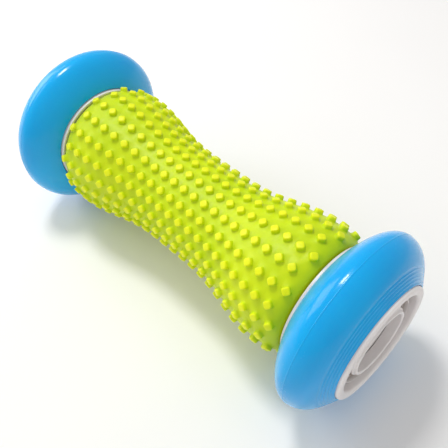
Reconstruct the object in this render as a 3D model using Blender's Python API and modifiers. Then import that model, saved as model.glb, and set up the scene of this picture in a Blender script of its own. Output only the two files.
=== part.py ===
"""Foot massage roller: a knobbed hourglass roller carried between two free-running wheels.

Metres, +Z up, +X along the axle towards the right wheel. The origin is on the floor, under the
middle of the roller. Every turned piece is drawn about its own local Z, which points outboard,
and its empty lays that axis along the axle, so a radius here is the distance from the axle.
"""
import bpy
import bmesh
from math import cos, sin, pi, sqrt, radians, floor, atan2
from mathutils import Matrix, Vector

# Overall sizes
overall_length = 0.220
wheel_diameter = 0.090

# Clearances
fit_gap = 0.0003            # between pieces that are pressed, clipped or bonded together
running_gap = 0.0003        # between pieces that turn on each other

# Wheel, along the axle
rim_proud = 0.0011          # the rim lip stands this far outboard of the tyre's edge
tyre_outer_reach = 0.0160   # crown to outer edge
tyre_inner_reach = 0.0135   # crown to inner side
crown_flat = 0.0024         # width of the flat tread band
tyre_side_run = 0.0048      # the cone next to the rim, along the axle
tyre_side_rise = 0.0083     # and outwards from the rim
tyre_outer_curve = 0.80     # how far round its ellipse the outer shoulder goes
tyre_inner_curve = 0.57
tyre_inner_edge = 0.0008    # the tyre's inner edge stands this far above the collar's flange
lip_round = 0.0016          # softened corners of the rim lip
rim_depth = 0.0035          # rim flange, over the tyre's outer shoulder
collar_depth = 0.0022       # collar flange, over the tyre's inner shoulder
collar_spigot = 0.0044
collar_proud = 0.0014       # the collar's lip stands this far inboard of the tyre
collar_dish = 0.0010        # depth of the dish inside the lip
recess_depth = 0.0088       # recess of the hub's outer face

# Roller, along the axle
wheel_clearance = 0.0021    # from the sleeve's end to the tyre
boss_inset = 0.0010         # end boss below the rim's face
plate_inset = 0.0025        # end plate below the rim's face
plate_thickness = 0.0019
boss_depth = 0.0049         # visible bore, from the boss's face to the tube's end
web_thickness = 0.0022
coupler_half = 0.0115
shoulder_flange = 0.0010
thrust_reach = 0.0008       # journal flange and thrust washer, outside the bearing
thrust_washer_thickness = 0.0011
retaining_thickness = 0.0012
retaining_washer_thickness = 0.0010

# Walls, from the bore outwards
bore_radius = 0.0151
tube_wall = 0.0015
boss_wall = 0.0010
journal_cavity = 0.0023
drum_wall = 0.0018
bush_wall = 0.0014
hub_wall = 0.0034
rim_height = 0.0021         # rim flange above the tyre's seat
collar_height = 0.0018      # collar flange above the tyre's seat
collar_lip = 0.0010
thrust_room = 0.0010        # between the thrust washer's edge and the collar
spigot_wall = 0.0014
recess_step = 0.0011        # recess wall outside the hub's bearing bore
coupler_wall = 0.0015
former_wall = 0.0022
sleeve_wall = 0.0030
groove_depth = 0.0009
retaining_reach = 0.0020    # retaining ring above the journal

# Sleeve
bulge_rise = 0.0080         # fattest radius over waist radius
bulge_inset = 0.0143        # from the sleeve's end to its fattest place
shoulder_length = 0.0070
shoulder_drop = 0.0036
knob_pitch = 0.0069
knob_columns = 22
knob_height = 0.0021
knob_taper = 0.80
knob_margin = 0.0020        # bare end of the sleeve
knob_phase = radians(10)

# End plate windows
window_count = 3
window_sweep = radians(106)
window_phase = radians(86.5)
window_inset = 0.0006       # from the boss and from the plate's edge
window_steps = 10           # facets along each window

# Retaining ring opening
ring_gap = radians(28)

# Facets
wheel_segments = 32
ring_segments = 24
sharp_corner = radians(35)
tyre_outer_shares = (1.0, 0.83, 0.62, 0.38)     # outline points, as shares of the shoulder
tyre_inner_shares = (0.26, 0.5, 0.75, 1.0)

# Stations along the axle, measured from the middle
half_length = overall_length / 2
axle_height = wheel_diameter / 2
crown = half_length - rim_proud - tyre_outer_reach
wheel_inner = crown - tyre_inner_reach
sleeve_half = wheel_inner - wheel_clearance
tyre_side = crown + tyre_outer_reach
collar_back = wheel_inner + collar_depth
collar_face = wheel_inner - collar_proud
hub_inner = collar_back + fit_gap
recess_floor = half_length - recess_depth
boss_face = half_length - boss_inset
plate_face = half_length - plate_inset
plate_back = plate_face - plate_thickness
tube_end = boss_face - boss_depth
journal_inner = sleeve_half + fit_gap
former_end = sleeve_half - fit_gap

# Radii, from the bore outwards
tube_radius = bore_radius + tube_wall
socket_radius = tube_radius + fit_gap
boss_radius = socket_radius + boss_wall
drum_bore = boss_radius + journal_cavity
journal_radius = drum_bore + drum_wall
bush_bore = journal_radius + running_gap
bush_radius = bush_bore + bush_wall
hub_bore = bush_radius + fit_gap
seat_radius = hub_bore + hub_wall
rim_radius = seat_radius + rim_height
collar_radius = seat_radius + collar_height
recess_radius = hub_bore + recess_step
coupler_radius = socket_radius + coupler_wall
former_bore = coupler_radius + fit_gap
sleeve_bore = former_bore + former_wall + fit_gap
waist_radius = sleeve_bore + sleeve_wall
groove_radius = journal_radius - groove_depth

for old in list(bpy.data.objects):
    bpy.data.objects.remove(old, do_unlink=True)

parts = bpy.data.collections.new("foot_massage_roller")
cutters = bpy.data.collections.new("cutters")
for group in (parts, cutters):
    bpy.context.scene.collection.children.link(group)


def plastic(name, colour, roughness, metallic=0.0):
    """A plain finish: one Principled BSDF."""
    material = bpy.data.materials.new(name)
    material.use_nodes = True
    shader = material.node_tree.nodes["Principled BSDF"]
    shader.inputs["Base Color"].default_value = (*colour, 1.0)
    shader.inputs["Roughness"].default_value = roughness
    shader.inputs["Metallic"].default_value = metallic
    material.diffuse_color = (*colour, 1.0)
    return material


def axle_empty(name, side):
    """An empty on the axle whose local Z points outboard: side is 1 for right, -1 for left."""
    empty = bpy.data.objects.new(name, None)
    empty.empty_display_size = 0.02
    empty.location = (0, 0, axle_height)
    empty.rotation_euler = (0, side * pi / 2, 0)
    parts.objects.link(empty)
    return empty


def place(name, mesh, parent, material):
    """Put a mesh in the model, on its empty's axis, with smooth faces and sharp corners."""
    body = bpy.data.objects.new(name, mesh)
    body.parent = parent
    body.data.materials.append(material)
    body.data.shade_smooth()
    body.data.set_sharp_from_angle(angle=sharp_corner)
    parts.objects.link(body)
    return body


def turned(profile, segments, phase=0.0):
    """Turn a closed (station, radius) outline, which runs inboard down its outer side.

    A radius is measured to the middle of a facet, so that facets face straight up and down.
    """
    half_step = pi / segments
    reach = 1 / cos(half_step)
    angle = half_step + phase
    corners = [(radius * reach * cos(angle), radius * reach * sin(angle), station)
               for station, radius in profile]
    loop = [(index, (index + 1) % len(corners)) for index in range(len(corners))]
    outline = bpy.data.meshes.new("outline")
    outline.from_pydata(corners, loop, [])
    blank = bpy.data.objects.new("outline", outline)
    bpy.context.scene.collection.objects.link(blank)
    screw = blank.modifiers.new("Turn", "SCREW")
    screw.axis = "Z"
    screw.angle = 2 * pi
    screw.steps = segments
    screw.render_steps = segments
    screw.use_merge_vertices = True
    screw.merge_threshold = 0.00001
    depsgraph = bpy.context.evaluated_depsgraph_get()
    solid = bpy.data.meshes.new_from_object(blank.evaluated_get(depsgraph))
    bpy.data.objects.remove(blank, do_unlink=True)
    return solid


def sectors(station, depth, inner, outer, sweep, starts, steps):
    """Part rings of rectangular section, one from each start angle, as one mesh."""
    reach = 1 / cos(sweep / steps / 2)
    width = (outer - inner) * reach
    middle = Vector(((outer + inner) / 2 * reach, 0, station + depth / 2))
    form = bmesh.new()
    for start in starts:
        turn = Matrix.Rotation(start, 4, "Z") @ Matrix.Translation(middle)
        upright = Matrix.Rotation(pi / 2, 4, "X") @ Matrix.Diagonal((width, depth, 1, 1))
        made = bmesh.ops.create_grid(form, x_segments=1, y_segments=1, size=0.5,
                                     matrix=turn @ upright)
        corners = made["verts"]
        edges = list({edge for corner in corners for edge in corner.link_edges})
        faces = list({face for corner in corners for face in corner.link_faces})
        bmesh.ops.spin(form, geom=corners + edges + faces, cent=(0, 0, 0), axis=(0, 0, 1),
                       angle=sweep, steps=steps, use_duplicate=False)
    bmesh.ops.recalc_face_normals(form, faces=form.faces)
    solid = bpy.data.meshes.new("sectors")
    form.to_mesh(solid)
    form.free()
    return solid


def tyre_fall(share, curve):
    """Share of the tyre's full drop, from 0 at the crown to 1 at its side, along an ellipse."""
    return (1 - sqrt(1 - (share * curve) ** 2)) / (1 - sqrt(1 - curve ** 2))


def sleeve_radius(station):
    """The sleeve's outside between its knobs: a slim waist, two bulges and round shoulders."""
    reach = abs(station)
    swell = sin(pi / 2 * reach / (sleeve_half - bulge_inset)) ** 4
    over = max(0.0, reach - sleeve_half + shoulder_length) / shoulder_length
    return waist_radius + bulge_rise * swell - shoulder_drop * (1 - sqrt(1 - min(1.0, over) ** 2))


def inner_stations(steps=6):
    """Stations from the waist to the sleeve's end, closer together near the end."""
    return [sleeve_half * sin(pi / 2 * step / steps) for step in range(steps + 1)]


def core_tube_mesh():
    """Plain tube through the whole roller, open from end to end."""
    return turned([(tube_end - fit_gap, tube_radius), (-tube_end + fit_gap, tube_radius),
                   (-tube_end + fit_gap, bore_radius), (tube_end - fit_gap, bore_radius)],
                  ring_segments)


def former_mesh():
    """Half of the hollow hourglass that the sleeve is drawn over, with a web at its end."""
    outside = [(min(station, former_end), sleeve_radius(station) - sleeve_wall - fit_gap)
               for station in inner_stations()]
    outside[0] = (fit_gap / 2, outside[0][1])
    web_face = former_end - web_thickness
    inside = [(station, sleeve_radius(station) - sleeve_wall - fit_gap - former_wall)
              for station in inner_stations()[1:-1] if station < web_face - web_thickness]
    inside.append((web_face, inside[-1][1]))
    profile = list(reversed(outside))
    profile += [(fit_gap / 2, former_bore), (coupler_half + fit_gap, former_bore)]
    profile += inside
    profile += [(web_face, socket_radius), (former_end, socket_radius)]
    return turned(profile, ring_segments)


def coupler_mesh():
    """Ring inside the waist that joins the former's halves."""
    return turned([(coupler_half, coupler_radius), (-coupler_half, coupler_radius),
                   (-coupler_half, socket_radius), (coupler_half, socket_radius)], ring_segments)


def sleeve_mesh():
    """Rubber sleeve: a turned tube whose chequered faces are drawn out into knobs."""
    row = knob_pitch / 2
    reach = floor((sleeve_half - knob_margin - row / 2) / row)
    outside = [sleeve_half] + [(index + 0.5) * row for index in range(reach, -reach - 2, -1)]
    outside.append(-sleeve_half)
    inside = inner_stations()
    inside = [-station for station in reversed(inside[1:])] + inside
    profile = [(station, sleeve_radius(station)) for station in outside]
    profile += [(station, sleeve_radius(station) - sleeve_wall) for station in inside]
    solid = turned(profile, 2 * knob_columns, knob_phase)

    form = bmesh.new()
    form.from_mesh(solid)
    column_step = pi / knob_columns
    pads = []
    for face in form.faces:
        centre = face.calc_center_median()
        outward = Vector((centre.x, centre.y, 0)).normalized()
        if face.normal.dot(outward) < 0.5 or abs(centre.z) > (reach + 0.4) * row:
            continue
        line = round((atan2(centre.y, centre.x) - knob_phase) / column_step)
        level = round(centre.z / row)
        if line % 2 == 0 and (line // 2 - level) % 2 == 0:
            pads.append(face)
    tops = bmesh.ops.extrude_discrete_faces(form, faces=pads)["faces"]
    for top in tops:
        centre = top.calc_center_median()
        lift = top.normal * knob_height
        for corner in top.verts:
            corner.co = centre + (corner.co - centre) * knob_taper + lift
    form.to_mesh(solid)
    form.free()
    return solid


def journal_mesh():
    """End of the roller: a socket on the tube, a drum for the wheel, an end plate and a boss."""
    groove = recess_floor + retaining_washer_thickness + 2 * fit_gap
    groove_far = groove + retaining_thickness + 2 * fit_gap
    flange = journal_inner + shoulder_flange
    flange_radius = bush_radius + thrust_reach
    outside = [(boss_face, tube_radius), (plate_face, socket_radius), (plate_face, journal_radius),
               (groove_far, journal_radius), (groove_far, groove_radius), (groove, groove_radius),
               (groove, journal_radius), (flange, journal_radius), (flange, flange_radius),
               (journal_inner, flange_radius)]
    inside = [(journal_inner, drum_bore), (plate_back, drum_bore), (plate_back, boss_radius),
              (journal_inner, boss_radius), (journal_inner, socket_radius),
              (tube_end, socket_radius), (tube_end, bore_radius), (boss_face, bore_radius)]
    return turned(outside + inside, ring_segments)


def window_mesh():
    """Cutter for the windows that lighten the end plate."""
    starts = [window_phase + 2 * pi * index / window_count - window_sweep / 2
              for index in range(window_count)]
    below = plate_back - fit_gap
    return sectors(below, plate_face - below + plate_inset / 2, socket_radius + window_inset,
                   journal_radius - window_inset, window_sweep, starts, window_steps)


def bush_mesh():
    """Plain bearing liner between the journal and the hub."""
    return turned([(recess_floor - fit_gap, bush_radius), (hub_inner + fit_gap, bush_radius),
                   (hub_inner + fit_gap, bush_bore), (recess_floor - fit_gap, bush_bore)],
                  ring_segments)


def hub_mesh():
    """Wheel hub: rim lip, tyre seat, bearing bore and the recess of its outer face."""
    spigot_seat = hub_bore + fit_gap + spigot_wall + fit_gap
    outside = [(half_length, rim_radius - lip_round),
               (half_length - lip_round / 2, rim_radius - lip_round / 4),
               (tyre_side, rim_radius), (half_length - rim_depth, rim_radius),
               (half_length - rim_depth, seat_radius), (hub_inner, seat_radius)]
    inside = [(hub_inner, spigot_seat), (collar_back + collar_spigot + fit_gap, spigot_seat),
              (collar_back + collar_spigot + fit_gap, hub_bore), (recess_floor, hub_bore),
              (recess_floor, recess_radius), (half_length - lip_round / 2, recess_radius),
              (half_length, recess_radius + lip_round)]
    return turned(outside + inside, wheel_segments)


def collar_mesh():
    """Collar that clips into the hub from inboard and holds the tyre on its seat."""
    spigot_bore = hub_bore + fit_gap
    spigot_radius = spigot_bore + spigot_wall
    spigot_end = collar_back + collar_spigot
    washer_room = hub_bore + thrust_reach + thrust_room
    step = wheel_inner + collar_depth / 2
    return turned([(spigot_end, spigot_radius), (collar_back, spigot_radius),
                   (collar_back, collar_radius), (collar_face, collar_radius),
                   (collar_face, collar_radius - collar_lip),
                   (collar_face + collar_dish, washer_room), (step, washer_room),
                   (step, spigot_bore), (spigot_end, spigot_bore)], wheel_segments)


def tyre_mesh():
    """Solid tyre: round-shouldered outside, stepped seat that the rim and collar hook over."""
    radius = wheel_diameter / 2
    outer_shoulder = tyre_outer_reach - tyre_side_run
    outer_drop = radius - rim_radius - tyre_side_rise
    inner_drop = radius - collar_radius - tyre_inner_edge
    outside = [(crown + outer_shoulder * share,
                radius - outer_drop * tyre_fall(share, tyre_outer_curve))
               for share in tyre_outer_shares]
    outside += [(crown + crown_flat / 2, radius), (crown - crown_flat / 2, radius)]
    outside += [(crown - tyre_inner_reach * share,
                 radius - inner_drop * tyre_fall(share, tyre_inner_curve))
                for share in tyre_inner_shares]
    rim_step = half_length - rim_depth - fit_gap
    inside = [(wheel_inner, collar_radius + fit_gap), (hub_inner, collar_radius + fit_gap),
              (hub_inner, seat_radius + fit_gap), (rim_step, seat_radius + fit_gap),
              (rim_step, rim_radius + fit_gap), (tyre_side, rim_radius + fit_gap)]
    return turned(outside + inside, wheel_segments)


def thrust_washer_mesh():
    """Washer between the journal's flange and the wheel."""
    start = journal_inner + shoulder_flange + fit_gap
    end = start + thrust_washer_thickness
    edge = hub_bore + thrust_reach
    return turned([(end, edge), (start, edge), (start, bush_bore), (end, bush_bore)],
                  ring_segments)


def retaining_washer_mesh():
    """Thin washer on the floor of the hub's recess."""
    start = recess_floor + fit_gap
    end = start + retaining_washer_thickness
    edge = recess_radius - fit_gap
    return turned([(end, edge), (start, edge), (start, bush_bore), (end, bush_bore)],
                  ring_segments)


def retaining_ring_mesh():
    """Open spring ring in the journal's groove, which keeps the wheel on."""
    start = recess_floor + retaining_washer_thickness + 3 * fit_gap
    return sectors(start, retaining_thickness, groove_radius + fit_gap,
                   journal_radius + retaining_reach, 2 * pi - ring_gap, [ring_gap / 2],
                   ring_segments)


white = plastic("white_plastic", (0.83, 0.80, 0.79), 0.38)
lime = plastic("lime_rubber", (0.62, 0.86, 0.02), 0.45)
blue = plastic("blue_tyre", (0.01, 0.29, 0.80), 0.16)
liner = plastic("bearing_plastic", (0.72, 0.71, 0.67), 0.5)
steel = plastic("spring_steel", (0.55, 0.55, 0.56), 0.3, 1.0)

roller_axis = axle_empty("roller_axis", 1)
place("core_tube", core_tube_mesh(), roller_axis, white)
place("waist_coupler", coupler_mesh(), roller_axis, white)
place("massage_sleeve", sleeve_mesh(), roller_axis, lime)

window_cutter = bpy.data.objects.new("window_cutter", window_mesh())
window_cutter.hide_render = True
window_cutter.display_type = "WIRE"
cutters.objects.link(window_cutter)

shared = {name: mesh() for name, mesh in (
    ("former", former_mesh), ("journal", journal_mesh), ("bush", bush_mesh),
    ("wheel_hub", hub_mesh), ("hub_collar", collar_mesh), ("tyre", tyre_mesh),
    ("thrust_washer", thrust_washer_mesh), ("retaining_washer", retaining_washer_mesh),
    ("retaining_ring", retaining_ring_mesh))}
finishes = {"former": white, "journal": white, "bush": liner, "wheel_hub": white,
            "hub_collar": white, "tyre": blue, "thrust_washer": liner,
            "retaining_washer": steel, "retaining_ring": steel}
roller_pieces = ("former", "journal", "retaining_ring")

for side, sign in (("left", -1), ("right", 1)):
    roller_end = axle_empty(side + "_roller_end", sign)
    wheel_axis = axle_empty(side + "_wheel_axis", sign)
    for piece, mesh in shared.items():
        parent = roller_end if piece in roller_pieces else wheel_axis
        body = place(side + "_" + piece, mesh.copy(), parent, finishes[piece])
        if piece == "journal":
            cutter = window_cutter.copy()
            cutter.name = side + "_window_cutter"
            cutter.parent = roller_end
            cutters.objects.link(cutter)
            windows = body.modifiers.new("Windows", "BOOLEAN")
            windows.operation = "DIFFERENCE"
            windows.object = cutter
bpy.data.objects.remove(window_cutter, do_unlink=True)
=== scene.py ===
import bmesh
import bpy
from math import cos, hypot, pi, radians, sin, sqrt, tan
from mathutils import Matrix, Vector


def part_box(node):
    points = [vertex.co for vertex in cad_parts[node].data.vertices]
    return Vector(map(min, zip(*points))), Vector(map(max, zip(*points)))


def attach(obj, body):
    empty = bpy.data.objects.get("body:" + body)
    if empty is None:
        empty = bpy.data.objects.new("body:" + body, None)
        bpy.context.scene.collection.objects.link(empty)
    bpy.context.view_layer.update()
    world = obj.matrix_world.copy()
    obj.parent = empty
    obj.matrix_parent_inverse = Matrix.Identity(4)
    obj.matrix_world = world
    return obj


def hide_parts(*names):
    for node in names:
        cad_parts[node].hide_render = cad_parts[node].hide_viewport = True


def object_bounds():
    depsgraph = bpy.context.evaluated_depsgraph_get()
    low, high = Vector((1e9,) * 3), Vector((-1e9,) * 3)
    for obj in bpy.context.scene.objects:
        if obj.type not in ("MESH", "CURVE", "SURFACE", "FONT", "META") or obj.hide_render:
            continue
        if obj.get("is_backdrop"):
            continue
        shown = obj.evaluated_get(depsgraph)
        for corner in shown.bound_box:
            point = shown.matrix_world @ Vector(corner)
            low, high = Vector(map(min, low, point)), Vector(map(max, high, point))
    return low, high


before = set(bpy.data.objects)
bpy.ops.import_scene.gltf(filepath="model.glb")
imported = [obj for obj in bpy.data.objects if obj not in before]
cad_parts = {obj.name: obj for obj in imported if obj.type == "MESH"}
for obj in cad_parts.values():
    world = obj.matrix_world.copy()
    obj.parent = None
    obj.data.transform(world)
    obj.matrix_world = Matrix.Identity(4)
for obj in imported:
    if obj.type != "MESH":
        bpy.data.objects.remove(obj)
cad_low, cad_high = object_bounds()

# ---------------------------------------------------------------------------------------------
# Core tube: the roller's backbone, a plain extruded ABS tube whose open bore runs from hub to
# hub. It is sawn to length and its ends are lightly broken before the journals are pressed on.
# ---------------------------------------------------------------------------------------------
AXLE_HEIGHT = (cad_low.z + cad_high.z) / 2


def outline(corners, steps=5):
    """Fine (station, radius) points of a closed outline of (station, radius, fillet) corners."""
    points = []
    for index, (station, radius, fillet) in enumerate(corners):
        here = Vector((station, radius))
        before = Vector(corners[index - 1][:2]) - here
        after = Vector(corners[(index + 1) % len(corners)][:2]) - here
        if fillet <= 0:
            points.append((station, radius))
            continue
        half = before.angle(after) / 2
        reach = min(fillet / tan(half), before.length * 0.49, after.length * 0.49)
        round_radius = reach * tan(half)
        start = here + before.normalized() * reach
        end = here + after.normalized() * reach
        centre = here + (before.normalized() + after.normalized()).normalized() * (
            round_radius / sin(half))
        for step in range(steps + 1):
            chord = start.lerp(end, step / steps) - centre
            points.append(tuple(centre + chord.normalized() * round_radius))
    return points


def on_axle(name, mesh, side, body, *nodes):
    """Lay a mesh drawn about local Z along the axle, Z outboard, to stand for CAD nodes."""
    piece = bpy.data.objects.new(name, mesh)
    piece.location = (0, 0, AXLE_HEIGHT)
    piece.rotation_euler = (0, side * pi / 2, 0)
    bpy.context.scene.collection.objects.link(piece)
    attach(piece, body)
    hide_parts(*nodes)
    return piece


def turned(points, segments=144):
    """Turn a closed outline, which runs inboard down its outer side, about local Z."""
    form = bmesh.new()
    ring = [form.verts.new((radius, 0, station)) for station, radius in points]
    edges = [form.edges.new((ring[index - 1], corner)) for index, corner in enumerate(ring)]
    bmesh.ops.spin(form, geom=ring + edges, cent=(0, 0, 0), axis=(0, 0, 1), angle=2 * pi,
                   steps=segments, use_merge=True, use_duplicate=False)
    bmesh.ops.remove_doubles(form, verts=form.verts, dist=0.000001)
    bmesh.ops.recalc_face_normals(form, faces=form.faces)
    mesh = bpy.data.meshes.new("turned")
    form.to_mesh(mesh)
    form.free()
    mesh.shade_smooth()
    mesh.set_sharp_from_angle(angle=radians(38))
    return mesh


class Shade:
    """A socket of a finish. Arithmetic on it adds Math nodes."""

    def __init__(self, socket):
        self.socket = socket

    def maths(self, operation, first, second):
        node = self.socket.id_data.nodes.new("ShaderNodeMath")
        node.operation = operation
        for entry, value in zip(node.inputs, (first, second)):
            if isinstance(value, Shade):
                self.socket.id_data.links.new(value.socket, entry)
            else:
                entry.default_value = value
        return Shade(node.outputs[0])

    def __add__(self, other):
        return self.maths("ADD", self, other)

    def __radd__(self, other):
        return self.maths("ADD", other, self)

    def __rsub__(self, other):
        return self.maths("SUBTRACT", other, self)

    def __mul__(self, other):
        return self.maths("MULTIPLY", self, other)

    def __rmul__(self, other):
        return self.maths("MULTIPLY", other, self)

    def __pow__(self, other):
        return self.maths("POWER", self, other)


class Finish:
    """A material under way: fixed values sit on the Principled sockets, nodes vary the rest."""

    def __init__(self, name, fixed):
        self.material = bpy.data.materials.new(name)
        self.material.use_nodes = True
        self.tree = self.material.node_tree
        self.shader = self.tree.nodes["Principled BSDF"]
        for socket, value in fixed.items():
            self.shader.inputs[socket].default_value = value
        self.place = self.add("TexCoord", output="Object")

    def add(self, kind, settings=None, values=None, output=0):
        """Add a node: its settings first, then the values or links of its sockets."""
        node = self.tree.nodes.new("ShaderNode" + kind)
        for name, setting in (settings or {}).items():
            if name == "stops":
                for index, (position, colour) in enumerate(setting):
                    if index > 1:
                        node.color_ramp.elements.new(position)
                    node.color_ramp.elements[index].position = position
                    node.color_ramp.elements[index].color = (*colour, 1)
            else:
                setattr(node, name, setting)
        for name, value in (values or {}).items():
            if isinstance(value, Shade):
                self.tree.links.new(value.socket, node.inputs[name])
            else:
                node.inputs[name].default_value = value
        return Shade(node.outputs[output])

    def noise(self, scale, detail=3.0, roughness=0.5, where=None):
        """Noise between 0 and 1, in lumps of 1 / scale metres."""
        return self.add("TexNoise", None, {"Vector": where or self.place, "Scale": scale,
                                           "Detail": detail, "Roughness": roughness})

    def step(self, value, low, high):
        """0 below low, 1 above high, and a smooth climb between."""
        return self.add("MapRange", {"interpolation_type": "SMOOTHSTEP"},
                        {"Value": value, "From Min": low, "From Max": high})

    def mix(self, share, first, second):
        """A colour between two colours or links."""
        colours = [value if isinstance(value, Shade) else (*value, 1) for value in (first, second)]
        return self.add("Mix", {"data_type": "RGBA"}, {0: share, 6: colours[0], 7: colours[1]}, 2)

    def axes(self):
        """Distance from the axle, and station along it."""
        across = self.add("SeparateXYZ", None, {0: self.place}, 0)
        up = Shade(across.socket.node.outputs[1])
        along = Shade(across.socket.node.outputs[2])
        return (across * across + up * up) ** 0.5, along

    def drive(self, socket, shade):
        self.tree.links.new(shade.socket, self.shader.inputs[socket])

    def emboss(self, height, distance, strength=1.0):
        """Bump from a height between 0 and 1, scaled to a distance in metres."""
        self.drive("Normal", self.add("Bump", None, {"Height": height, "Distance": distance,
                                                     "Strength": strength}))


def moulded_white(cavity=None):
    """Satin white ABS: faint clouding and fine spark-eroded grain, with painted shade in a cavity.

    A cavity is (inner radius, outer radius, station below which shade is painted).
    """
    finish = Finish("white_plastic", {"IOR": 1.53, "Subsurface Weight": 0.06,
                                      "Subsurface Radius": (0.0012, 0.0009, 0.0008)})
    cloud = finish.step(finish.noise(55, 2), 0.3, 0.7)
    grain = finish.noise(2600, 2, 0.6)
    handling = finish.step(finish.noise(170, 4, 0.65), 0.48, 0.72)
    colour = finish.mix(cloud, (0.800, 0.755, 0.745), (0.850, 0.815, 0.805))
    colour = finish.mix(handling * 0.25, colour, (0.70, 0.66, 0.64))
    if cavity:
        # Painted shade: the ring of the cavity behind the end plate is darkened to a dull brown.
        radius, station = finish.axes()
        dust_and_shade = (finish.step(radius, cavity[0], cavity[0] + 0.0002)
                * (1 - finish.step(radius, cavity[1] - 0.0002, cavity[1]))
                * (1 - finish.step(station, cavity[2] - 0.0030, cavity[2])))
        colour = finish.mix(dust_and_shade, colour, (0.42, 0.36, 0.32))
    finish.drive("Base Color", colour)
    finish.drive("Roughness", 0.34 + handling * 0.12 + grain * 0.06)
    finish.emboss(grain * 0.7 + cloud * 0.3, 0.00002, 0.6)
    return finish.material


white_plastic = moulded_white()
TUBE_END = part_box("core_tube")[1].x
TUBE_RADIUS = 0.0166
TUBE_BORE = 0.0151
BROKEN_EDGE = 0.0003
core_tube = on_axle("core_tube_extrusion", turned(outline([
    (TUBE_END, TUBE_RADIUS, BROKEN_EDGE), (-TUBE_END, TUBE_RADIUS, BROKEN_EDGE),
    (-TUBE_END, TUBE_BORE, BROKEN_EDGE), (TUBE_END, TUBE_BORE, BROKEN_EDGE)])), 1, "roller",
    "core_tube")
core_tube.data.materials.append(white_plastic)

# ---------------------------------------------------------------------------------------------
# Massage sleeve: one soft lime rubber moulding drawn over the hourglass former. Its knobs stand
# in a staggered lattice, 22 columns round: square posts, corner to the axle, with flat tops.
# ---------------------------------------------------------------------------------------------
SLEEVE_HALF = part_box("massage_sleeve")[1].x
WAIST_RADIUS = 0.0242
BULGE_RISE = 0.0080
BULGE_STATION = SLEEVE_HALF - 0.0143
SHOULDER_LENGTH = 0.0070
SHOULDER_DROP = 0.0036
SLEEVE_WALL = 0.0030
KNOB_COLUMNS = 22
KNOB_PITCH = 0.0069
KNOB_PHASE = radians(10)
KNOB_MARGIN = 0.0020
KNOB_SQUARENESS = 4.5
KNOB_CROWN = 0.00003
KNOB_SIDES = 16
# Each ring of a knob, from its foot to its top, is (half of its width, lift off the sleeve).
KNOB_RINGS = ((0.00222, 0.0), (0.00200, 0.00010), (0.00191, 0.00030), (0.00184, 0.00075),
              (0.00178, 0.00150), (0.00171, 0.00188), (0.00157, 0.00209), (0.00130, 0.00217),
              (0.00070, 0.00220))


def sleeve_radius(station):
    """The sleeve's outside between its knobs."""
    swell = sin(pi / 2 * abs(station) / BULGE_STATION) ** 4
    over = min(1.0, max(0.0, abs(station) - SLEEVE_HALF + SHOULDER_LENGTH) / SHOULDER_LENGTH)
    return WAIST_RADIUS + BULGE_RISE * swell - SHOULDER_DROP * (1 - sqrt(1 - over ** 2))


def on_sleeve(angle, station):
    """A point of the sleeve's base surface."""
    return (sleeve_radius(station) * cos(angle), sleeve_radius(station) * sin(angle), station)


def on_knob(angle, station, across, along, lift):
    """A point of a knob, which stands square to the surface at its own middle."""
    nudge = 0.0015
    slope = (sleeve_radius(station + nudge) - sleeve_radius(station - nudge)) / (2 * nudge)
    slant = hypot(1, slope)
    radius = sleeve_radius(station) + (lift + along * slope) / slant
    return (radius * cos(angle) - across * sin(angle), radius * sin(angle) + across * cos(angle),
            station + (along - lift * slope) / slant)


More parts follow.
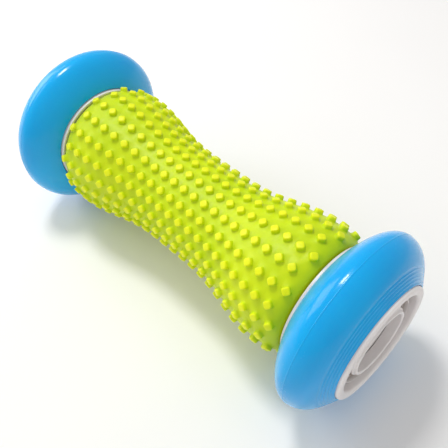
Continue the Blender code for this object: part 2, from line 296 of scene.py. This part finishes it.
def knobbed_sleeve():
    """Tile the sleeve with cells, one knob in each, then close its ends and its inside."""
    form = bmesh.new()
    lift_layer = form.verts.layers.float.new("knob_lift")
    half_cell = KNOB_PITCH / 2
    half_angle = pi / KNOB_COLUMNS
    levels = int((SLEEVE_HALF - KNOB_MARGIN - half_cell / 2) / half_cell)
    top_lift = KNOB_RINGS[-1][1]
    turns = [2 * pi * side / KNOB_SIDES for side in range(KNOB_SIDES)]
    cell_edge = []
    for turn in turns:
        across = max(-1.0, min(1.0, sqrt(2) * cos(turn)))
        along = max(-1.0, min(1.0, sqrt(2) * sin(turn)))
        cell_edge.append((round(across * 2) / 2, round(along * 2) / 2))

    def corner(place, lift=0.0):
        vertex = form.verts.new(place)
        vertex[lift_layer] = lift / top_lift
        return vertex

    for column in range(KNOB_COLUMNS):
        middle = KNOB_PHASE + column * 2 * half_angle
        for level in range(-levels - 1, levels + 2):
            if (column - level) % 2:
                continue
            station = level * half_cell
            if abs(level) > levels:
                inner = 1 if level < 0 else -1
                grid = [[corner(on_sleeve(middle + share * half_angle,
                                          station + inner * row * half_cell))
                         for share in (-1, -0.5, 0, 0.5, 1)] for row in (0, 0.5, 1)]
                for low, high in zip(grid, grid[1:]):
                    for index in range(4):
                        form.faces.new((low[index], low[index + 1], high[index + 1], high[index]))
                continue
            loops = [[corner(on_sleeve(middle + across * half_angle, station + along * half_cell))
                      for across, along in cell_edge]]
            around = sleeve_radius(station)
            for radius, lift in KNOB_RINGS:
                loop = []
                for turn in turns:
                    square = (abs(cos(turn - pi / 4)) ** KNOB_SQUARENESS
                              + abs(sin(turn - pi / 4)) ** KNOB_SQUARENESS) ** (
                                  -1 / KNOB_SQUARENESS)
                    across = radius * square * cos(turn)
                    along = radius * square * sin(turn)
                    loop.append(corner(
                        on_knob(middle, station, across, along, lift) if lift
                        else on_sleeve(middle + across / around, station + along), lift))
                loops.append(loop)
            for low, high in zip(loops, loops[1:]):
                for index in range(KNOB_SIDES):
                    form.faces.new((low[index - 1], low[index], high[index], high[index - 1]))
            crown = corner(on_knob(middle, station, 0, 0, top_lift + KNOB_CROWN), top_lift)
            for index in range(KNOB_SIDES):
                form.faces.new((loops[-1][index - 1], loops[-1][index], crown))

    last = (levels + 1) * half_cell
    lip = sleeve_radius(SLEEVE_HALF)
    bare = (last + SLEEVE_HALF) / 2
    wrap = [(last, sleeve_radius(last)), (bare, sleeve_radius(bare)), (SLEEVE_HALF, lip),
            (SLEEVE_HALF, lip - SLEEVE_WALL * 0.9)]
    inside_steps = 9
    inside = [SLEEVE_HALF * sin(pi / 2 * step / inside_steps)
              for step in range(1 - inside_steps, inside_steps)]
    wrap += [(station, sleeve_radius(station) - SLEEVE_WALL) for station in reversed(inside)]
    wrap += [(-station, radius) for station, radius in reversed(wrap[:4])]
    rings = [[form.verts.new((radius * cos(KNOB_PHASE + index * half_angle / 2),
                              radius * sin(KNOB_PHASE + index * half_angle / 2), station))
              for index in range(4 * KNOB_COLUMNS)] for station, radius in wrap]
    for low, high in zip(rings, rings[1:]):
        for index in range(len(low)):
            form.faces.new((low[index - 1], low[index], high[index], high[index - 1]))
    bmesh.ops.remove_doubles(form, verts=form.verts, dist=0.00001)
    bmesh.ops.recalc_face_normals(form, faces=form.faces)
    mesh = bpy.data.meshes.new("knobbed_sleeve")
    form.to_mesh(mesh)
    form.free()
    mesh.shade_smooth()
    mesh.set_sharp_from_angle(angle=radians(60))
    return mesh


def lime_rubber():
    """Soft satin rubber: painted shade, a deeper green, between the knobs, and painted light on the
    paler tops, which also carry some dust; fine mould grain.
    """
    finish = Finish("lime_rubber", {"IOR": 1.5, "Subsurface Weight": 0.35,
                                    "Subsurface Radius": (0.0030, 0.0026, 0.0006),
                                    "Specular IOR Level": 0.3})
    lift = finish.add("Attribute", {"attribute_name": "knob_lift"}, None, "Fac")
    cloud = finish.step(finish.noise(38, 3), 0.3, 0.7)
    grain = finish.noise(1900, 3, 0.6)
    # Dust on the knob tops, paler and rougher: the rubber's own colour.
    dust_and_shade = finish.step(finish.noise(420, 4, 0.7), 0.55, 0.8) * lift
    colour = finish.mix(cloud, (0.530, 0.690, 0.001), (0.610, 0.740, 0.002))
    # Painted light and shade: the colour grows paler with the knob's lift, so the tops look lit and
    # the sleeve between the knobs looks shaded.
    colour = finish.mix(finish.step(lift, 0.2, 1.0) * 0.85, colour, (0.840, 0.880, 0.006))
    colour = finish.mix(dust_and_shade * 0.15, colour, (0.80, 0.86, 0.30))
    finish.drive("Base Color", colour)
    finish.drive("Roughness", 0.40 + 0.08 * grain + 0.10 * dust_and_shade)
    finish.emboss(grain, 0.00003, 0.7)
    return finish.material


massage_sleeve = on_axle("massage_sleeve_moulding", knobbed_sleeve(), 1, "roller",
                         "massage_sleeve")
massage_sleeve.data.materials.append(lime_rubber())

# ---------------------------------------------------------------------------------------------
# Waist coupler: a short ABS ring, slid on the core tube at the middle of the roller and glued
# inside the two formers to hold them in line.
# ---------------------------------------------------------------------------------------------
FIT_GAP = 0.0003
SOCKET_RADIUS = TUBE_RADIUS + FIT_GAP
COUPLER_RADIUS = SOCKET_RADIUS + 0.0015
COUPLER_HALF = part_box("waist_coupler")[1].x
COUPLER_ROUND = 0.0005
COUPLER_BORE_ROUND = 0.0004
waist_coupler = on_axle("waist_coupler_ring", turned(outline([
    (COUPLER_HALF, COUPLER_RADIUS, COUPLER_ROUND),
    (-COUPLER_HALF, COUPLER_RADIUS, COUPLER_ROUND),
    (-COUPLER_HALF, SOCKET_RADIUS, COUPLER_BORE_ROUND),
    (COUPLER_HALF, SOCKET_RADIUS, COUPLER_BORE_ROUND)])), 1, "roller", "waist_coupler")
waist_coupler.data.materials.append(white_plastic)

# ---------------------------------------------------------------------------------------------
# Formers: two hollow ABS halves of the hourglass, butted together over the coupler. Each has a
# web at its outboard end that centres it on the core tube, and carries half of the sleeve.
# ---------------------------------------------------------------------------------------------
FORMER_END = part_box("right_former")[1].x
FORMER_WALL = 0.0022
FORMER_STEPS = 24
WEB_FACE = FORMER_END - FORMER_WALL
WEB_CHAMFER = 0.0004
SIDES = (("left", -1), ("right", 1))


def former_mesh():
    """Thin shell under the sleeve, a step for the coupler and the web."""
    shell = [FORMER_END * sin(pi / 2 * step / FORMER_STEPS) for step in range(FORMER_STEPS + 1)]
    shell[0] = FIT_GAP / 2
    cover = SLEEVE_WALL + FIT_GAP
    points = [(station, sleeve_radius(station) - cover) for station in reversed(shell)]
    bore = WAIST_RADIUS - cover - FORMER_WALL
    points += [(shell[0], bore), (COUPLER_HALF + FIT_GAP, bore)]
    ease = 0.0010
    hollow = [(station, sleeve_radius(station) - cover - FORMER_WALL) for station in shell
              if COUPLER_HALF + ease < station < WEB_FACE - ease]
    points += hollow + [(WEB_FACE, hollow[-1][1] - WEB_CHAMFER),
                        (WEB_FACE, SOCKET_RADIUS + WEB_CHAMFER),
                        (WEB_FACE + WEB_CHAMFER, SOCKET_RADIUS), (FORMER_END, SOCKET_RADIUS)]
    return turned(points, 96)


for side, sign in SIDES:
    former = on_axle(side + "_former_shell", former_mesh(), sign, "roller", side + "_former")
    former.data.materials.append(white_plastic)

# ---------------------------------------------------------------------------------------------
# Journals: the white ends of the roller that the wheels turn on. Each is moulded with an end
# plate, three long windows that leave thin spokes, and a boss round the open bore.
# ---------------------------------------------------------------------------------------------
HUB_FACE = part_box("right_wheel_hub")[1].x
JOURNAL_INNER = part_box("right_journal")[0].x
BOSS_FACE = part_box("right_journal")[1].x
JOURNAL_RADIUS = 0.0220
GROOVE_RADIUS = 0.0211
FLANGE_RADIUS = 0.0245
FLANGE_FACE = JOURNAL_INNER + 0.0010
CAVITY_RADIUS = 0.0202
BOSS_RADIUS = 0.0179
BOSS_LIP = 0.0164
BOSS_FOOT = 0.0172
PLATE_FACE = HUB_FACE - 0.0025
PLATE_BACK = PLATE_FACE - 0.0019
BORE_FLOOR = BOSS_FACE - 0.0049
GROOVE_START = HUB_FACE - 0.0072
GROOVE_END = HUB_FACE - 0.0054
WINDOW_COUNT = 3
WINDOW_SWEEP = radians(106)
WINDOW_PHASE = radians(86.5)
WINDOW_STEPS = 36
WINDOW_DEPTH = 0.0022
WINDOW_OUTSIDE = 0.0214
WINDOW_INSIDE = 0.0175


def window_cutters():
    """Ring sectors that cut the end plate's windows."""
    form = bmesh.new()
    outward = range(WINDOW_STEPS + 1)
    for window in range(WINDOW_COUNT):
        middle = WINDOW_PHASE + 2 * pi * window / WINDOW_COUNT
        base = []
        for radius, steps in ((WINDOW_OUTSIDE, outward), (WINDOW_INSIDE, reversed(outward))):
            for step in steps:
                angle = middle + WINDOW_SWEEP * (step / WINDOW_STEPS - 0.5)
                base.append(form.verts.new((radius * cos(angle), radius * sin(angle),
                                            PLATE_FACE - WINDOW_DEPTH)))
        floor_face = form.faces.new(base)
        raised = bmesh.ops.extrude_face_region(form, geom=[floor_face])["geom"]
        bmesh.ops.translate(form, vec=(0, 0, WINDOW_DEPTH * 1.5), verts=[
            item for item in raised if isinstance(item, bmesh.types.BMVert)])
    bmesh.ops.recalc_face_normals(form, faces=form.faces)
    mesh = bpy.data.meshes.new("windows")
    form.to_mesh(mesh)
    form.free()
    cutter = bpy.data.objects.new("windows", mesh)
    bpy.context.scene.collection.objects.link(cutter)
    return cutter


def cut(mesh, cutter):
    """Take a cutter away from a mesh and keep flat faces flat in what it leaves."""
    blank = bpy.data.objects.new("blank", mesh)
    bpy.context.scene.collection.objects.link(blank)
    boolean = blank.modifiers.new("Cut", "BOOLEAN")
    boolean.operation = "DIFFERENCE"
    boolean.object = cutter
    evaluated = blank.evaluated_get(bpy.context.evaluated_depsgraph_get())
    made = bpy.data.meshes.new_from_object(evaluated)
    bpy.data.objects.remove(cutter)
    made.shade_smooth()
    made.set_sharp_from_angle(angle=radians(38))
    blank.modifiers.clear()
    blank.data = made
    weighted = blank.modifiers.new("Normals", "WEIGHTED_NORMAL")
    weighted.keep_sharp = True
    evaluated = blank.evaluated_get(bpy.context.evaluated_depsgraph_get())
    finished = bpy.data.meshes.new_from_object(evaluated)
    bpy.data.objects.remove(blank)
    return finished


def journal_mesh():
    """Turned journal with its windows cut."""
    body = turned(outline([
        (BOSS_FACE, BOSS_LIP, 0.0004), (PLATE_FACE, BOSS_FOOT, 0.0012),
        (PLATE_FACE, JOURNAL_RADIUS, 0.0004), (GROOVE_END, JOURNAL_RADIUS, 0.0001),
        (GROOVE_END, GROOVE_RADIUS, 0.0001), (GROOVE_START, GROOVE_RADIUS, 0.0001),
        (GROOVE_START, JOURNAL_RADIUS, 0.0001), (FLANGE_FACE, JOURNAL_RADIUS, 0.0002),
        (FLANGE_FACE, FLANGE_RADIUS, 0.0003), (JOURNAL_INNER, FLANGE_RADIUS, 0.0003),
        (JOURNAL_INNER, CAVITY_RADIUS, 0), (PLATE_BACK, CAVITY_RADIUS, 0.0003),
        (PLATE_BACK, BOSS_RADIUS, 0.0003), (JOURNAL_INNER, BOSS_RADIUS, 0),
        (JOURNAL_INNER, SOCKET_RADIUS, 0), (BORE_FLOOR, SOCKET_RADIUS, 0),
        (BORE_FLOOR, TUBE_BORE, 0.0002), (BOSS_FACE, TUBE_BORE, 0.0006)]))
    return cut(body, window_cutters())


# The journals' white has painted shade in the cavity behind the plate, between the boss foot and
# the windows.
journal_white = moulded_white((BOSS_FOOT, WINDOW_OUTSIDE + 0.0003, PLATE_FACE - 0.0002))
for side, sign in SIDES:
    journal = on_axle(side + "_journal_moulding", journal_mesh(), sign, "roller", side + "_journal")
    journal.data.materials.append(journal_white)

# ---------------------------------------------------------------------------------------------
# Wheel hubs: white ABS mouldings that carry the tyres. The rim ends in a rounded lip, and the
# outer face is recessed round the journal so that the retaining ring sits out of sight.
# ---------------------------------------------------------------------------------------------
TYRE_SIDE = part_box("right_tyre")[1].x
HUB_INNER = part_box("right_wheel_hub")[0].x
RECESS_FLOOR = HUB_FACE - 0.0088
SEAT_RADIUS = 0.0274
RIM_RADIUS = 0.0295
RIM_ROUND = 0.0013
RIM_BACK = HUB_FACE - 0.0035
RECESS_RADIUS = 0.0251
HUB_BORE = 0.0240
SPIGOT_SEAT = 0.0260
SPIGOT_END = HUB_INNER + 0.0044

for side, sign in SIDES:
    wheel_hub = on_axle(side + "_hub_moulding", turned(outline([
        (HUB_FACE, RIM_RADIUS, RIM_ROUND), (RIM_BACK, RIM_RADIUS, 0.0002),
        (RIM_BACK, SEAT_RADIUS, 0.0002), (HUB_INNER, SEAT_RADIUS, 0.0003),
        (HUB_INNER, SPIGOT_SEAT, 0.0002), (SPIGOT_END, SPIGOT_SEAT, 0),
        (SPIGOT_END, HUB_BORE, 0), (RECESS_FLOOR, HUB_BORE, 0.0002),
        (RECESS_FLOOR, RECESS_RADIUS, 0.0004), (HUB_FACE, RECESS_RADIUS, RIM_ROUND)])), sign,
        side + "_wheel", side + "_wheel_hub")
    wheel_hub.data.materials.append(white_plastic)

# ---------------------------------------------------------------------------------------------
# Bushes and thrust washers: turned from off-white acetal. The bush is pressed into the hub and
# runs on the journal; the washer keeps the hub off the journal's flange.
# ---------------------------------------------------------------------------------------------
BUSH_BORE = JOURNAL_RADIUS + FIT_GAP
BUSH_RADIUS = BUSH_BORE + 0.0014
WASHER_RADIUS = 0.0248


def turned_acetal():
    """Off-white acetal: fine tool marks round the axle and a waxy, slightly uneven gloss."""
    finish = Finish("bearing_plastic", {"IOR": 1.48, "Subsurface Weight": 0.1,
                                        "Subsurface Radius": (0.0010, 0.0009, 0.0006)})
    radius, station = finish.axes()
    marks = finish.noise(5200, 2, 0.6, finish.add("CombineXYZ", None, {0: radius, 1: station,
                                                                     2: 0.0}))
    cloud = finish.step(finish.noise(120, 3), 0.3, 0.7)
    finish.drive("Base Color", finish.mix(cloud, (0.69, 0.67, 0.61), (0.75, 0.74, 0.69)))
    finish.drive("Roughness", 0.38 + 0.14 * marks + 0.06 * cloud)
    finish.emboss(marks, 0.00002, 0.6)
    return finish.material


bearing_plastic = turned_acetal()
for side, sign in SIDES:
    low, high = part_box("right_bush")
    bush = on_axle(side + "_bush_liner", turned(outline([
        (high.x, BUSH_RADIUS, 0.0004), (low.x, BUSH_RADIUS, 0.0004),
        (low.x, BUSH_BORE, 0.0003), (high.x, BUSH_BORE, 0.0003)])), sign, side + "_wheel",
        side + "_bush")
    low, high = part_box("right_thrust_washer")
    thrust_washer = on_axle(side + "_thrust_ring", turned(outline([
        (high.x, WASHER_RADIUS, 0.0003), (low.x, WASHER_RADIUS, 0.0003),
        (low.x, BUSH_BORE, 0.0003), (high.x, BUSH_BORE, 0.0003)])), sign, side + "_wheel",
        side + "_thrust_washer")
    for piece in (bush, thrust_washer):
        piece.data.materials.append(bearing_plastic)

# ---------------------------------------------------------------------------------------------
# Retaining washers and rings: stamped spring steel. The open ring snaps into the journal's
# groove against a thin washer on the floor of the hub's recess, and keeps the wheel on.
# ---------------------------------------------------------------------------------------------
RING_BORE = 0.0214
RING_RADIUS = 0.0240
RING_OPENING = radians(28)
RING_TAPER = 0.0009
RING_STEPS = 120
RING_SOFT_EDGE = 0.00012
LUG_SHARE = 0.035


def ring_mesh():
    """Open ring with softened edges, slimmer towards its ends, with a small lug at each."""
    low, high = (corner.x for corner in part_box("right_retaining_ring"))
    form = bmesh.new()
    loops = []
    soft = RING_SOFT_EDGE
    for step in range(RING_STEPS + 1):
        share = step / RING_STEPS
        angle = RING_OPENING / 2 + (2 * pi - RING_OPENING) * share
        lug = max(0.0, 1 - min(share, 1 - share) / LUG_SHARE)
        edge = RING_RADIUS - RING_TAPER * abs(2 * share - 1) ** 1.5 * (1 - lug ** 0.5)
        section = [(RING_BORE + soft, low), (RING_BORE, low + soft), (RING_BORE, high - soft),
                   (RING_BORE + soft, high), (edge - soft, high), (edge, high - soft),
                   (edge, low + soft), (edge - soft, low)]
        loops.append([form.verts.new((radius * cos(angle), radius * sin(angle), station))
                      for radius, station in section])
    for first, second in zip(loops, loops[1:]):
        for index in range(8):
            form.faces.new((first[index - 1], first[index], second[index], second[index - 1]))
    form.faces.new(loops[0])
    form.faces.new(loops[-1])
    bmesh.ops.recalc_face_normals(form, faces=form.faces)
    mesh = bpy.data.meshes.new("open_ring")
    form.to_mesh(mesh)
    form.free()
    mesh.shade_smooth()
    mesh.set_sharp_from_angle(angle=radians(30))
    return mesh


def stamped_steel():
    """Phosphated spring steel: grey, faintly mottled, with stamping marks."""
    finish = Finish("spring_steel", {"IOR": 2.5})
    mottle = finish.step(finish.noise(700, 4, 0.6), 0.35, 0.7)
    rub = finish.step(finish.noise(160, 3, 0.6), 0.5, 0.75)
    finish.drive("Base Color", finish.mix(mottle, (0.42, 0.42, 0.43), (0.56, 0.56, 0.57)))
    finish.drive("Metallic", 0.85 + 0.15 * rub)
    finish.drive("Roughness", 0.40 - 0.12 * rub + 0.06 * mottle)
    finish.emboss(mottle, 0.00002, 0.5)
    return finish.material


spring_steel = stamped_steel()
for side, sign in SIDES:
    low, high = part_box("right_retaining_washer")
    retaining_washer = on_axle(side + "_washer_stamping", turned(outline([
        (high.x, WASHER_RADIUS, 0.0002), (low.x, WASHER_RADIUS, 0.0002),
        (low.x, BUSH_BORE, 0.0002), (high.x, BUSH_BORE, 0.0002)], 3)), sign, side + "_wheel",
        side + "_retaining_washer")
    retaining_ring = on_axle(side + "_ring_stamping", ring_mesh(), sign, "roller",
                             side + "_retaining_ring")
    for piece in (retaining_washer, retaining_ring):
        piece.data.materials.append(spring_steel)

# ---------------------------------------------------------------------------------------------
# Hub collars: white rings that clip into the hubs from inboard and hold the tyres on. Their
# thin lip stands inboard of the tyre, close to the sleeve's end, with a shallow dish inside it.
# ---------------------------------------------------------------------------------------------
COLLAR_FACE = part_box("right_hub_collar")[0].x
COLLAR_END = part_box("right_hub_collar")[1].x
COLLAR_RADIUS = 0.0292
COLLAR_LIP = 0.0010
COLLAR_DISH = 0.0010
COLLAR_STEP = COLLAR_FACE + 0.0025
COLLAR_BACK = COLLAR_STEP + 0.0011
SPIGOT_RADIUS = 0.0257
SPIGOT_BORE = 0.0243
WASHER_ROOM = 0.0258

for side, sign in SIDES:
    hub_collar = on_axle(side + "_collar_moulding", turned(outline([
        (COLLAR_END, SPIGOT_RADIUS, 0.0003), (COLLAR_BACK, SPIGOT_RADIUS, 0),
        (COLLAR_BACK, COLLAR_RADIUS, 0.0002), (COLLAR_FACE, COLLAR_RADIUS, 0.0004),
        (COLLAR_FACE, COLLAR_RADIUS - COLLAR_LIP, 0.0004),
        (COLLAR_FACE + COLLAR_DISH, WASHER_ROOM, 0.0005), (COLLAR_STEP, WASHER_ROOM, 0.0002),
        (COLLAR_STEP, SPIGOT_BORE, 0.0002), (COLLAR_END, SPIGOT_BORE, 0.0003)])), sign,
        side + "_wheel", side + "_hub_collar")
    hub_collar.data.materials.append(white_plastic)

# ---------------------------------------------------------------------------------------------
# Tyres: thick glossy blue mouldings in soft PVC, stretched over the hub's seat, with fine rings
# on the outer side next to the rim and a faint witness of the mould's split at the crown.
# ---------------------------------------------------------------------------------------------
TYRE_RADIUS = AXLE_HEIGHT
TYRE_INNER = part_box("right_tyre")[0].x
CROWN = TYRE_INNER + 0.0135
OUTER_REACH = TYRE_SIDE - CROWN
INNER_REACH = CROWN - TYRE_INNER
INNER_EDGE = COLLAR_RADIUS + 0.0008
TYRE_EDGE = 0.0004
OUTER_CURVE = 0.80
OUTER_STEPS = 24
INNER_CURVE = 0.57
INNER_STEPS = 30
SIDE_RUN = 0.0048
SIDE_RISE = 0.0083
SIDE_RING_COUNT = 5
SIDE_RING_STEPS = 10
SIDE_RING_PITCH = 0.00130
SIDE_RING_START = 0.00085
SIDE_RING_DEPTH = 0.00020
# The mould's witness line: (outboard of the crown, lift).
WITNESS = ((0.0010, 0.0), (0.0008, 0.00003), (0.0006, 0.00014), (0.0004, 0.00003), (0.0002, 0.0))


def tyre_fall(share, curve):
    """Share of the drop from crown to side, along an ellipse."""
    return (1 - sqrt(1 - (share * curve) ** 2)) / (1 - sqrt(1 - curve ** 2))


def tyre_mesh():
    """Turned tyre: ringed side, outer shoulder, crown, inner shoulder and stepped seat."""
    slant = hypot(SIDE_RUN, SIDE_RISE)
    shoulder = OUTER_REACH - SIDE_RUN
    shoulder_drop = TYRE_RADIUS - RIM_RADIUS - SIDE_RISE
    points = [(TYRE_SIDE - TYRE_EDGE, RIM_RADIUS + FIT_GAP)]
    for step in range(SIDE_RING_COUNT * SIDE_RING_STEPS + 1):
        rise = SIDE_RING_START + SIDE_RING_PITCH * step / SIDE_RING_STEPS
        sink = SIDE_RING_DEPTH * abs(sin(pi * step / SIDE_RING_STEPS)) ** 0.7
        points.append((TYRE_SIDE - SIDE_RUN * rise / SIDE_RISE - sink * SIDE_RISE / slant,
                       RIM_RADIUS + rise - sink * SIDE_RUN / slant))
    for step in range(OUTER_STEPS):
        share = 1 - step / OUTER_STEPS * (1 - WITNESS[0][0] / shoulder)
        points.append((CROWN + shoulder * share,
                       TYRE_RADIUS - shoulder_drop * tyre_fall(share, OUTER_CURVE)))
    for reach, lift in WITNESS:
        points.append((CROWN + reach, TYRE_RADIUS + lift
                       - shoulder_drop * tyre_fall(reach / shoulder, OUTER_CURVE)))
    for step in range(INNER_STEPS + 1):
        share = step / INNER_STEPS
        points.append((CROWN - INNER_REACH * share, TYRE_RADIUS
                       - (TYRE_RADIUS - INNER_EDGE) * tyre_fall(share, INNER_CURVE)))
    rim_step = RIM_BACK - FIT_GAP
    points += [(TYRE_INNER + TYRE_EDGE, COLLAR_RADIUS + FIT_GAP),
               (HUB_INNER, COLLAR_RADIUS + FIT_GAP), (HUB_INNER, SEAT_RADIUS + FIT_GAP),
               (rim_step, SEAT_RADIUS + FIT_GAP), (rim_step, RIM_RADIUS + FIT_GAP)]
    return turned(points, 192)


def glossy_blue():
    """Glossy soft PVC: moulding flow round the axle, its light streaks partly painted reflection,
    faint scuffs on the tread, a wet gloss.
    """
    finish = Finish("blue_tyre", {"IOR": 1.5, "Subsurface Weight": 0.12,
                                  "Subsurface Radius": (0.0006, 0.0016, 0.0040),
                                  "Coat Roughness": 0.05, "Specular IOR Level": 0.25})
    radius, station = finish.axes()
    flow = finish.add("CombineXYZ", None, {0: radius, 1: station, 2: 0.0})
    flow_and_sheen_streak = finish.noise(330, 3, 0.6, flow)
    cloud = finish.step(finish.noise(26, 2), 0.3, 0.7)
    tread = finish.step(radius, TYRE_RADIUS - 0.0012, TYRE_RADIUS - 0.0003)
    scuff = finish.step(finish.noise(900, 5, 0.75), 0.56, 0.74) * tread
    colour = finish.mix(cloud, (0.000, 0.350, 0.780), (0.000, 0.400, 0.840))
    # Painted reflection: the flow streaks lighten the blue to stand for reflected streaks; their
    # roughness and bump are the moulding's own.
    colour = finish.mix(flow_and_sheen_streak * 0.25, colour, (0.000, 0.470, 0.900))
    colour = finish.mix(scuff * 0.12, colour, (0.04, 0.42, 0.78))
    finish.drive("Base Color", colour)
    finish.drive("Roughness", 0.16 + 0.06 * flow_and_sheen_streak + 0.22 * scuff)
    finish.drive("Coat Weight", 0.25 - 0.2 * scuff)
    finish.emboss(flow_and_sheen_streak * 0.8 + finish.noise(1200, 2) * 0.2, 0.00012, 0.6)
    return finish.material


blue_tyre = glossy_blue()
for side, sign in SIDES:
    tyre = on_axle(side + "_tyre_moulding", tyre_mesh(), sign, side + "_wheel", side + "_tyre")
    tyre.data.materials.append(blue_tyre)

# ---------------------------------------------------------------------------------------------
# Studio: a pale paper floor, a small key light high to the left, a broad one from the left, a
# weak fill in front, and the camera above the right wheel.
# ---------------------------------------------------------------------------------------------
bpy.ops.mesh.primitive_plane_add(size=8, location=(0, 0, -0.0001))
floor = bpy.context.object
floor.name = "floor"
paper = Finish("paper", {"Roughness": 0.9})
paper.drive("Base Color", paper.mix(paper.noise(8, 2), (0.89, 0.88, 0.87), (0.92, 0.91, 0.90)))
floor.data.materials.append(paper.material)
floor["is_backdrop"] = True


def softbox(name, place, size, power, mirrored=True):
    """A square soft light that faces the roller, kept out of the gloss if it is not mirrored."""
    lamp = bpy.data.objects.new(name, bpy.data.lights.new(name, "AREA"))
    lamp.data.size = size
    lamp.data.energy = power
    lamp.location = place
    lamp.rotation_euler = (Vector((0, 0, 0.04)) - lamp.location).to_track_quat("-Z", "Y").to_euler()
    lamp.visible_glossy = mirrored
    bpy.context.scene.collection.objects.link(lamp)


softbox("key", (-0.36, 0.0, 1.00), 0.22, 4.7)
softbox("side", (-0.95, -0.25, 0.50), 0.70, 4.5)
softbox("front", (0.70, -0.55, 0.55), 0.80, 1.0, False)

world = bpy.data.worlds.new("studio")
bpy.context.scene.world = world
world.use_nodes = True
world.node_tree.nodes["Background"].inputs["Color"].default_value = (1.0, 0.99, 0.98, 1)
world.node_tree.nodes["Background"].inputs["Strength"].default_value = 0.56
bpy.context.scene.view_settings.view_transform = "Standard"

camera = bpy.data.objects.new("camera", bpy.data.cameras.new("camera"))
camera.data.lens = 48.7
camera.data.clip_start = 0.01
camera.location = (0.1551, -0.13965, AXLE_HEIGHT + 0.22545)
camera.rotation_euler = (radians(41.4), 0, radians(45))
bpy.context.scene.collection.objects.link(camera)
bpy.context.scene.camera = camera

low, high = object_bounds()
